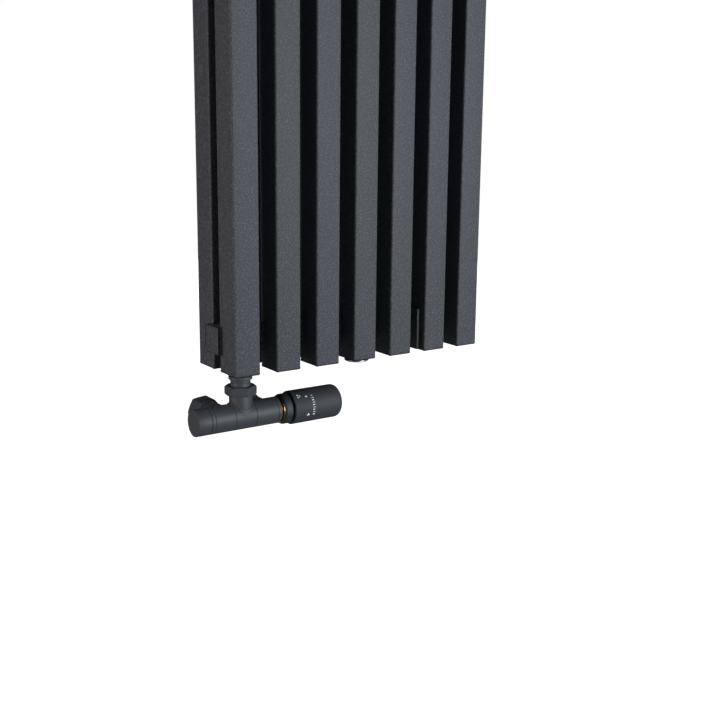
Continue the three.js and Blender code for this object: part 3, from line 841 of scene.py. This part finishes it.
class VALVE_OT_riser(PieceOperator, bpy.types.Operator):
    """Models what joins the valve to the tube: gasket, tailpiece, union nut and dip tube"""

    bl_idname = "radiator.riser"
    bl_label = "Riser"

    def execute(self, context):
        sizes = context.scene.valve_sizes
        centre = RISER_AXIS
        gasket("port_gasket", centre, 0.3 * MM)
        self.tailpiece(box_of("port_gasket")[0].z - GAP, centre, sizes)
        self.union_nut(centre, sizes)
        low, high, _ = box_of("dip_tube")
        foot = low.z + 3 * MM
        inner, outer, foot_radius = 5 * MM, 6 * MM, 7.6 * MM
        profile = [
            (low.z, inner),
            (low.z, foot_radius),
            (foot, foot_radius),
            (foot, outer),
            (high.z, outer),
            (high.z, inner),
            (low.z, inner),
        ]
        tube = turned("moulded_dip_tube", "z", profile, centre, sides=48)
        hand_over(tube, "radiator", "nylon", "dip_tube")
        return {"FINISHED"}

    def tailpiece(self, collar_top, centre, sizes):
        low, high, _ = box_of("tailpiece")
        collar = (high.x - low.x) / 2
        collar_bottom = collar_top - 4 * MM
        flange_top = low.z + 2.6 * MM
        groove = collar_bottom - 3.2 * MM
        line = 0.35 * MM
        profile = [
            (low.z, RISER_BORE),
            (low.z, STUB_RADIUS),
            (flange_top, STUB_RADIUS),
            (flange_top, TAIL_NECK),
            (groove, TAIL_NECK),
            (groove + line, TAIL_NECK - line),
            (groove + 2 * line, TAIL_NECK),
            (collar_bottom - line, TAIL_NECK),
            (collar_bottom, TAIL_NECK - line),
            (collar_bottom + 0.5 * MM, collar - 0.4 * MM),
            (collar_bottom + 0.9 * MM, collar),
            (collar_top, collar),
            (collar_top, SOCKET_THREAD),
            (high.z, SOCKET_THREAD),
            (high.z, RISER_BORE),
            (low.z, RISER_BORE),
        ]
        piece = turned("lacquered_tailpiece", "z", profile, centre)
        hand_over(rounded(piece, sizes.edge), "radiator", "valve_coat", "tailpiece")

    def union_nut(self, centre, sizes):
        low, high, _ = box_of("union_nut")
        nut = hexagon(
            "lacquered_union_nut", "z", UNION_NUT_FLATS, low.z, high.z, centre, 0, sizes.nut_edge
        )
        lip = high.z - 2.6 * MM
        combine(
            nut,
            "DIFFERENCE",
            bar("bore", "z", STUB_RADIUS + GAP, low.z - MM, lip, centre),
            bar("neck_hole", "z", TAIL_NECK + GAP, low.z - MM, high.z + MM, centre),
        )
        hand_over(nut, "radiator", "valve_coat", "union_nut", angle=28)


class VALVE_OT_body(PieceOperator, bpy.types.Operator):
    """Models the valve body with its seams, saddle, riser stub, branches and pipe necks"""

    bl_idname = "radiator.valve_body"
    bl_label = "Valve body"

    def execute(self, context):
        sizes = context.scene.valve_sizes
        low, high, _ = box_of("valve_body")
        centre = BODY_AXIS
        body = self.barrel(low, high, centre, sizes)
        stub = bar("stub", "z", STUB_RADIUS, VALVE.z, high.z, RISER_AXIS)
        rounded(stub, sizes.edge)
        saddle = self.saddle(sizes)
        ports = [box_of(f"{name}_pipe_nut")[2].x for name in ("return", "supply")]
        branch_end = box_of("return_pipe_nut")[0].y - GAP
        necks, branches = [], []
        for x in ports:
            necks.append(bar("neck", "y", NECK_RADIUS, 0, NECK_LENGTH, (x, VALVE.y, VALVE.z)))
            branch = bar("branch", "y", BRANCH_RADIUS, VALVE.y, branch_end, (x, 0, VALVE.z))
            branches.append(rounded(branch, 0.5 * MM))
        combine(body, "UNION", stub, saddle, *branches, *necks)
        drills = [
            bar("chamber", "z", RISER_BORE, VALVE.z - RISER_BORE, high.z + MM, RISER_AXIS),
            bar("left_bore", "x", 9.55 * MM, low.x - MM, VALVE.x - 8.65 * MM, centre),
            bar("right_bore", "x", SOCKET_THREAD + GAP, VALVE.x + 14 * MM, high.x + MM, centre),
            bar("seat", "x", 5 * MM, VALVE.x, VALVE.x + 15 * MM, centre, sides=48),
        ]
        for x in ports:
            port = (x, VALVE.y, VALVE.z)
            socket_end = NECK_LENGTH + MM
            drills.append(bar("socket", "y", PIPE_RADIUS, PIPE_STOP, socket_end, port, sides=64))
            drills.append(bar("waterway", "y", WATERWAY, 0, NECK_LENGTH, port, sides=48))
        combine(body, "DIFFERENCE", *drills)
        hand_over(body, "radiator", "valve_coat", "valve_body", angle=28)
        return {"FINISHED"}

    def barrel(self, low, high, centre, sizes):
        """The turned outside: nipple, shoulder, four seams and a chamfered right end."""
        shoulder = box_of("cover_cap")[1].x + GAP
        half = sizes.seam_width / 2
        lead, soft = 0.8 * MM, 0.3 * MM
        profile = [
            (low.x, 0),
            (low.x, NIPPLE_RADIUS - lead),
            (low.x + lead, NIPPLE_RADIUS),
            (shoulder, NIPPLE_RADIUS),
            (shoulder, BODY_RADIUS - soft),
            (shoulder + soft, BODY_RADIUS),
        ]
        for place in SEAM_PLACES:
            seam = VALVE.x + place * MM
            profile += [
                (seam - half - 0.15 * MM, BODY_RADIUS),
                (seam - half + 0.05 * MM, BODY_RADIUS - 0.15 * MM),
                (seam - half + 0.1 * MM, BODY_RADIUS - sizes.seam_depth),
                (seam + half - 0.1 * MM, BODY_RADIUS - sizes.seam_depth),
                (seam + half - 0.05 * MM, BODY_RADIUS - 0.15 * MM),
                (seam + half + 0.15 * MM, BODY_RADIUS),
            ]
        chamfer = 0.9 * MM
        profile += [(high.x - chamfer, BODY_RADIUS), (high.x, BODY_RADIUS - chamfer), (high.x, 0)]
        return turned("lacquered_valve_body", "x", profile, centre)

    def saddle(self, sizes):
        """The bevelled collar round the riser stub: a chamfered sleeve that follows the barrel."""
        top = VALVE.z + BODY_RADIUS + 4 * MM
        saddle = bar("saddle", "z", STUB_RADIUS + sizes.saddle, VALVE.z, top, RISER_AXIS)
        ends = (VALVE.x - 20 * MM, VALVE.x + 20 * MM)
        skin = bar("saddle_skin", "x", BODY_RADIUS + sizes.saddle_rise, *ends, BODY_AXIS)
        combine(saddle, "INTERSECT", skin)
        return rounded(saddle, 0.75 * sizes.saddle_rise, segments=1, angle=14)


class VALVE_OT_pipe_nuts(PieceOperator, bpy.types.Operator):
    """Models the two pipe nuts and the clamp rings inside them"""

    bl_idname = "radiator.pipe_nuts"
    bl_label = "Pipe nuts"

    def execute(self, context):
        sizes = context.scene.valve_sizes
        low, high, middle = box_of("return_pipe_nut")
        centre = (middle.x, 0, VALVE.z)
        nut = hexagon(
            "lacquered_return_pipe_nut",
            "y",
            PIPE_NUT_FLATS,
            low.y,
            high.y,
            centre,
            PIPE_NUT_TURN,
            sizes.nut_edge,
        )
        combine(
            nut,
            "DIFFERENCE",
            bar("thread", "y", NECK_RADIUS + GAP, low.y - MM, high.y - 9 * MM, centre),
            bar("pipe_hole", "y", PIPE_RADIUS, low.y - MM, high.y + MM, centre),
        )
        spacing = box_of("supply_pipe_nut")[2] - middle
        other = copied(nut, "lacquered_supply_pipe_nut", spacing)
        hand_over(nut, "radiator", "valve_coat", "return_pipe_nut", angle=28)
        hand_over(other, "radiator", "valve_coat", "supply_pipe_nut", angle=28)
        low, high, _ = box_of("return_clamp_ring")
        profile = ring_profile(NECK_RADIUS, PIPE_RADIUS, low.y, high.y)
        clamp = rounded(turned("brass_return_clamp_ring", "y", profile, centre), 0.3 * MM)
        other = copied(clamp, "brass_supply_clamp_ring", spacing)
        hand_over(clamp, "radiator", "brass", "return_clamp_ring")
        hand_over(other, "radiator", "brass", "supply_clamp_ring")
        return {"FINISHED"}


class VALVE_OT_shutoff(PieceOperator, bpy.types.Operator):
    """Models the cover cap and, under it, the shut-off cock with its ring and gland"""

    bl_idname = "radiator.shutoff"
    bl_label = "Shut-off"

    def execute(self, context):
        centre = BODY_AXIS
        self.cover_cap(centre)
        self.cock(centre)
        for name, node, inner, slot, body in (
            ("rubber_shutoff_ring", "shutoff_o_ring", 7.2 * MM, "rubber", "cock"),
            ("brass_shutoff_gland", "shutoff_gland", 4.85 * MM, "brass", "radiator"),
        ):
            low, high, _ = box_of(node)
            ring = turned(name, "x", ring_profile(COCK_RADIUS, inner, low.x, high.x), centre)
            hand_over(rounded(ring, 0.3 * MM), body, slot, node)
        return {"FINISHED"}

    def cover_cap(self, centre):
        low, high, _ = box_of("cover_cap")
        inner = 12.35 * MM
        floor = low.x + 2.4 * MM
        soft = 0.55 * MM
        profile = [
            (low.x, 0),
            (low.x, BODY_RADIUS - soft),
            (low.x + soft * 0.3, BODY_RADIUS - soft * 0.3),
            (low.x + soft, BODY_RADIUS),
            (high.x - 0.3 * MM, BODY_RADIUS),
            (high.x, BODY_RADIUS - 0.3 * MM),
            (high.x, inner),
            (floor, inner),
            (floor, 0),
        ]
        cap = turned("lacquered_cover_cap", "x", profile, centre)
        hand_over(cap, "cap", "valve_coat", "cover_cap", angle=30)

    def cock(self, centre):
        low, high, _ = box_of("shutoff_cock")
        shoulder = low.x + 7 * MM
        stem = 4.5 * MM
        groove = box_of("shutoff_o_ring")[2].x
        port = box_of("return_pipe_nut")[2].x
        profile = [
            (low.x, 0),
            (low.x, 4.1 * MM),
            (low.x + 0.4 * MM, stem),
            (shoulder, stem),
            (shoulder, COCK_RADIUS),
            (groove - 1.3 * MM, COCK_RADIUS),
            (groove - 1.3 * MM, 6.9 * MM),
            (groove + 1.3 * MM, 6.9 * MM),
            (groove + 1.3 * MM, COCK_RADIUS),
            (high.x, COCK_RADIUS),
            (high.x, 0),
        ]
        cock = turned("brass_shutoff_cock", "x", profile, centre, sides=64)
        half = 0.8 * MM
        slot = block(
            "slot",
            (low.x - MM, VALVE.y - 6 * MM, VALVE.z - half),
            (low.x + 2 * MM, VALVE.y + 6 * MM, VALVE.z + half),
        )
        combine(
            cock,
            "DIFFERENCE",
            slot,
            bar("hollow", "x", 5 * MM, shoulder + 13 * MM, high.x + MM, centre, sides=48),
            bar("side_hole", "y", 5 * MM, 0, 11 * MM, (port, VALVE.y, VALVE.z), sides=48),
        )
        hand_over(cock, "cock", "brass", "shutoff_cock", angle=28)


class VALVE_OT_thermostat(PieceOperator, bpy.types.Operator):
    """Turns the brass insert, the ring nut and the base of the thermostatic head"""

    bl_idname = "radiator.thermostat"
    bl_label = "Thermostat"

    def execute(self, context):
        sizes = context.scene.valve_sizes
        centre = BODY_AXIS
        self.insert(centre)
        self.ring_nut(centre)
        self.base(centre, sizes)
        return {"FINISHED"}

    def insert(self, centre):
        low, high, _ = box_of("thermostatic_insert")
        flange_start = box_of("valve_body")[1].x + GAP
        flange_end = flange_start + 2.4 * MM
        cage_end = low.x + 19 * MM
        cage, pin_bore = 7.5 * MM, 2.15 * MM
        flange = (high.z - low.z) / 2
        profile = [
            (low.x, cage),
            (low.x, SOCKET_THREAD),
            (flange_start, SOCKET_THREAD),
            (flange_start, flange - 2.4 * MM),
            (flange_end - 1.3 * MM, flange - 2.4 * MM),
            (flange_end - 1.2 * MM, flange - 0.3 * MM),
            (flange_end - 0.9 * MM, flange),
            (flange_end - 0.3 * MM, flange),
            (flange_end, flange - 0.3 * MM),
            (flange_end, HEAD_THREAD),
            (high.x, HEAD_THREAD),
            (high.x, pin_bore),
            (cage_end, pin_bore),
            (cage_end, cage),
            (low.x, cage),
        ]
        insert = turned("brass_thermostatic_insert", "x", profile, centre)
        port = box_of("supply_pipe_nut")[2].x
        window = bar("window", "y", 4 * MM, -14 * MM, 14 * MM, (port, VALVE.y, VALVE.z), sides=48)
        combine(insert, "DIFFERENCE", window)
        hand_over(insert, "radiator", "brass", "thermostatic_insert", angle=30)

    def ring_nut(self, centre):
        low, high, _ = box_of("ring_nut")
        radius = (high.z - low.z) / 2
        bore, lip = 14.9 * MM, 12.3 * MM
        profile = [
            (low.x, bore),
            (low.x, radius - 1.5 * MM),
            (low.x + 0.5 * MM, radius - 0.9 * MM),
            (low.x + 1.7 * MM, radius - 0.1 * MM),
            (low.x + 2.2 * MM, radius),
            (high.x - 1.1 * MM, radius),
            (high.x - 0.7 * MM, radius - 0.1 * MM),
            (high.x - 0.1 * MM, radius - 0.9 * MM),
            (high.x, radius - 1.3 * MM),
            (high.x, lip),
            (high.x - 1.6 * MM, lip),
            (high.x - 1.6 * MM, bore),
            (low.x, bore),
        ]
        nut = turned("plated_ring_nut", "x", profile, centre)
        hand_over(nut, "radiator", "grey_metal", "ring_nut", angle=50)

    def base(self, centre, sizes):
        low, high, _ = box_of("head_base")
        sleeve = (high.z - low.z) / 2
        flange_end = low.x + 2.6 * MM
        neck_end = low.x + 8.1 * MM
        neck = 12 * MM
        profile = [
            (low.x, PIN_HOLE),
            (low.x, HEAD_THREAD),
            (flange_end, HEAD_THREAD),
            (flange_end, neck),
            (neck_end, neck),
            (neck_end, sleeve),
            (high.x, sleeve),
            (high.x, sleeve - 2.4 * MM),
            (neck_end + 1.6 * MM, sleeve - 2.4 * MM),
            (neck_end + 1.6 * MM, PIN_HOLE),
            (low.x, PIN_HOLE),
        ]
        base = turned("moulded_head_base", "x", profile, centre)
        hand_over(rounded(base, sizes.edge, segments=2), "radiator", "head_coat", "head_base")


class VALVE_OT_knob(PieceOperator, bpy.types.Operator):
    """Turns the head's knob, with a chamfered mouth and a rounded end"""

    bl_idname = "radiator.knob"
    bl_label = "Knob"

    def execute(self, context):
        centre = BODY_AXIS
        start, end = KNOB_LOW.x, KNOB_HIGH.x
        wall, fillet, soft = 2 * MM, 6 * MM, 1.1 * MM
        inner = KNOB_RADIUS - wall
        mouth = [
            (start, inner),
            (start, KNOB_RADIUS - soft),
            (start + soft * 0.35, KNOB_RADIUS - soft * 0.35),
            (start + soft, KNOB_RADIUS),
        ]
        turns = [math.pi / 2 * step / 10 for step in range(11)]
        outside = [
            (end - fillet + fillet * math.sin(turn), KNOB_RADIUS - fillet + fillet * math.cos(turn))
            for turn in turns
        ]
        inside = [
            (end - wall, 0),
            (end - wall, KNOB_RADIUS - fillet),
            (end - fillet, inner),
            (start, inner),
        ]
        knob = turned("moulded_head_knob", "x", mouth + outside + [(end, 0)] + inside, centre)
        hand_over(knob, "knob", "head_coat", "head_knob", angle=30)
        return {"FINISHED"}


class VALVE_OT_marks(PieceOperator, bpy.types.Operator):
    """Prints an index, a scale of numbers and a pointer on the knob"""

    bl_idname = "radiator.marks"
    bl_label = "Printed marks"

    def execute(self, context):
        height = context.scene.valve_sizes.mark_height
        glyphs = [("6", 15.6, 46, height * 1.15)]
        scale = "5|4|3|2|1"
        first, last = -20, 47
        for index, glyph in enumerate(scale):
            angle = first + (last - first) * index / (len(scale) - 1)
            glyphs.append((glyph, 22.9, angle, height))
        printed = [self.glyph(text, along * MM, angle, size) for text, along, angle, size in glyphs]
        printed.append(self.triangle(6.4 * MM, 51, 3.0 * MM, -math.pi / 2, hollow=True))
        printed.append(self.triangle(15.8 * MM, -19, 2.1 * MM, 0))
        marks = joined("printed_dial_marks", printed)
        hand_over(marks, "knob", "dial_print")
        return {"FINISHED"}

    def lay_on(self, piece, along, angle, turn):
        """Lays a flat piece on the knob, by distance from its mouth and angle above its front."""
        lean = math.radians(angle)
        normal = Vector((0, -math.cos(lean), math.sin(lean)))
        across = AXES["x"]
        up = normal.cross(across)
        frame_at = Matrix((across, up, normal)).transposed().to_4x4()
        spot = Vector((KNOB_LOW.x + along, VALVE.y, VALVE.z)) + normal * (KNOB_RADIUS - 0.12 * MM)
        piece.matrix_world = Matrix.Translation(spot) @ frame_at @ Matrix.Rotation(turn, 4, "Z")
        pick(piece)
        bpy.ops.object.transform_apply(location=True, rotation=True, scale=True)
        return piece

    def glyph(self, text, along, angle, size):
        deselect()
        bpy.ops.object.text_add()
        made = bpy.context.object
        made.data.body = text
        made.data.size = size * 1.35
        made.data.align_x = "CENTER"
        made.data.align_y = "CENTER"
        made.data.extrude = 0.15 * MM
        made.data.offset = 0.13 * MM
        bpy.ops.object.convert(target="MESH")
        return self.lay_on(bpy.context.object, along, angle, math.pi / 2)

    def triangle(self, along, angle, size, turn, hollow=False):
        deselect()
        bpy.ops.mesh.primitive_cylinder_add(vertices=3, radius=size, depth=0.3 * MM)
        made = bpy.context.object
        if hollow:
            bpy.ops.mesh.primitive_cylinder_add(vertices=3, radius=size * 0.68, depth=MM)
            combine(made, "DIFFERENCE", bpy.context.object)
        return self.lay_on(made, along, angle, turn)


class VALVE_OT_inner_parts(PieceOperator, bpy.types.Operator):
    """Gives their finish to the CAD pieces that stay as they are, inside the valve"""

    bl_idname = "radiator.inner_parts"
    bl_label = "Inner parts"

    def execute(self, context):
        slots = {each["node"]: each["material_slot"] for each in frame["record"]["subparts"]}
        for name, node in frame["nodes"].items():
            if node.hide_render:
                continue
            for index in range(len(node.material_slots)):
                node.material_slots[index].material = FINISHES[slots[name]]
        return {"FINISHED"}


# ---- Stage ------------------------------------------------------------------

FLOOR_DROP = 0.16
FLOOR_SIZE = 14
WORLD_COLOUR = (0.94, 0.97, 1.0, 1)
WORLD_STRENGTH = 0.04
LAMP_TARGET = Vector((0, -0.06, 0.2))
LAMPS = (  # name, place, size, watts, colour
    ("front_softbox", (0.95, -2.3, 0.32), (1.1, 1.3), 64, (0.93, 0.97, 1.0)),
    ("left_softbox", (-2.3, 0.0, 0.3), (0.9, 1.3), 30, (1.0, 0.94, 0.9)),
    ("rear_softbox", (1.3, 2.1, 0.5), (1.1, 1.3), 30, (0.95, 0.97, 1.0)),
)
CAMERA = {
    "place": (-0.6432, -1.0313, 0.2586),
    "yaw": 34.75,
    "pitch": -11.38,
    "roll": 0.60,
    "lens": 50.62,
    "shift_y": -0.04,
}


class RADIATOR_OT_stage(PieceOperator, bpy.types.Operator):
    """Sets the camera, the floor, the backdrop's light and the soft lamps"""

    bl_idname = "radiator.stage"
    bl_label = "Stage"

    def execute(self, context):
        self.camera(context)
        self.floor()
        self.backdrop(context)
        for name, *settings in LAMPS:
            lamp = self.lamp(name, *settings)
            lamp.visible_glossy = name != "rear_softbox"
        context.scene.view_settings.view_transform = "Standard"
        return {"FINISHED"}

    def camera(self, context):
        deselect()
        bpy.ops.object.camera_add(location=CAMERA["place"])
        camera = context.object
        camera.name = "camera"
        camera.data.lens = CAMERA["lens"]
        camera.data.sensor_width = 36
        camera.data.shift_y = CAMERA["shift_y"]
        camera.data.clip_start = 0.01
        yaw, pitch, roll = (math.radians(CAMERA[name]) for name in ("yaw", "pitch", "roll"))
        heading = Matrix.Rotation(-yaw, 4, "Z") @ Matrix.Rotation(math.pi / 2 + pitch, 4, "X")
        tilt = Matrix.Rotation(roll, 4, "Z")
        camera.matrix_world = Matrix.Translation(CAMERA["place"]) @ heading @ tilt
        context.scene.camera = camera

    def floor(self):
        deselect()
        bpy.ops.mesh.primitive_plane_add(size=FLOOR_SIZE, location=(0, 0, CAD_BOX[0].z - FLOOR_DROP))
        floor = new_piece("floor")
        floor.data.materials.append(FINISHES["studio_floor"])

    def backdrop(self, context):
        """White where the camera looks past the object, and a dimmer white as a light."""
        world = bpy.data.worlds.new("studio")
        context.scene.world = world
        world.use_nodes = True
        tree = world.node_tree
        light = tree.nodes["Background"]
        light.inputs["Color"].default_value = WORLD_COLOUR
        light.inputs["Strength"].default_value = WORLD_STRENGTH
        seen = tree.nodes.new("ShaderNodeBackground")
        seen.inputs["Color"].default_value = (1, 1, 1, 1)
        path = tree.nodes.new("ShaderNodeLightPath")
        mix = tree.nodes.new("ShaderNodeMixShader")
        tree.links.new(path.outputs["Is Camera Ray"], mix.inputs[0])
        tree.links.new(light.outputs[0], mix.inputs[1])
        tree.links.new(seen.outputs[0], mix.inputs[2])
        tree.links.new(mix.outputs[0], tree.nodes["World Output"].inputs[0])

    def lamp(self, name, place, size, power, colour):
        deselect()
        bpy.ops.object.light_add(type="AREA", location=place)
        lamp = bpy.context.object
        lamp.name = name
        lamp.data.shape = "RECTANGLE"
        lamp.data.size, lamp.data.size_y = size
        lamp.data.energy = power
        lamp.data.color = colour
        lamp.rotation_euler = (LAMP_TARGET - Vector(place)).to_track_quat("-Z", "Y").to_euler()
        return lamp


# ---- Panel and run ----------------------------------------------------------

OPERATORS = (
    RADIATOR_OT_stage,
    RADIATOR_OT_tubes,
    RADIATOR_OT_headers,
    RADIATOR_OT_welds,
    RADIATOR_OT_brackets,
    RADIATOR_OT_plug,
    RADIATOR_OT_vent,
    VALVE_OT_riser,
    VALVE_OT_body,
    VALVE_OT_pipe_nuts,
    VALVE_OT_shutoff,
    VALVE_OT_thermostat,
    VALVE_OT_knob,
    VALVE_OT_marks,
    VALVE_OT_inner_parts,
)


class RADIATOR_PT_panel(bpy.types.Panel):
    """Lists the sizes, the finishes and a button for each group of pieces"""

    bl_idname = "RADIATOR_PT_panel"
    bl_label = "Radiator with Valve"
    bl_space_type = "VIEW_3D"
    bl_region_type = "UI"
    bl_category = "Radiator"

    def draw(self, context):
        scene = context.scene
        for group in (scene.radiator_sizes, scene.valve_sizes, scene.finish_colours):
            box = self.layout.box()
            for name in group.__annotations__:
                box.prop(group, name)
        for operator in OPERATORS:
            self.layout.operator(operator.bl_idname)


CLASSES = (RadiatorSizes, ValveSizes, FinishColours, *OPERATORS, RADIATOR_PT_panel)


def register():
    for each in CLASSES:
        bpy.utils.register_class(each)
    bpy.types.Scene.radiator_sizes = PointerProperty(type=RadiatorSizes)
    bpy.types.Scene.valve_sizes = PointerProperty(type=ValveSizes)
    bpy.types.Scene.finish_colours = PointerProperty(type=FinishColours)


def unregister():
    del bpy.types.Scene.finish_colours
    del bpy.types.Scene.valve_sizes
    del bpy.types.Scene.radiator_sizes
    for each in reversed(CLASSES):
        bpy.utils.unregister_class(each)


def main():
    register()
    make_finishes(bpy.context.scene.finish_colours)
    for operator in OPERATORS:
        group, name = operator.bl_idname.split(".")
        getattr(getattr(bpy.ops, group), name)()


if __name__ == "__main__":
    main()
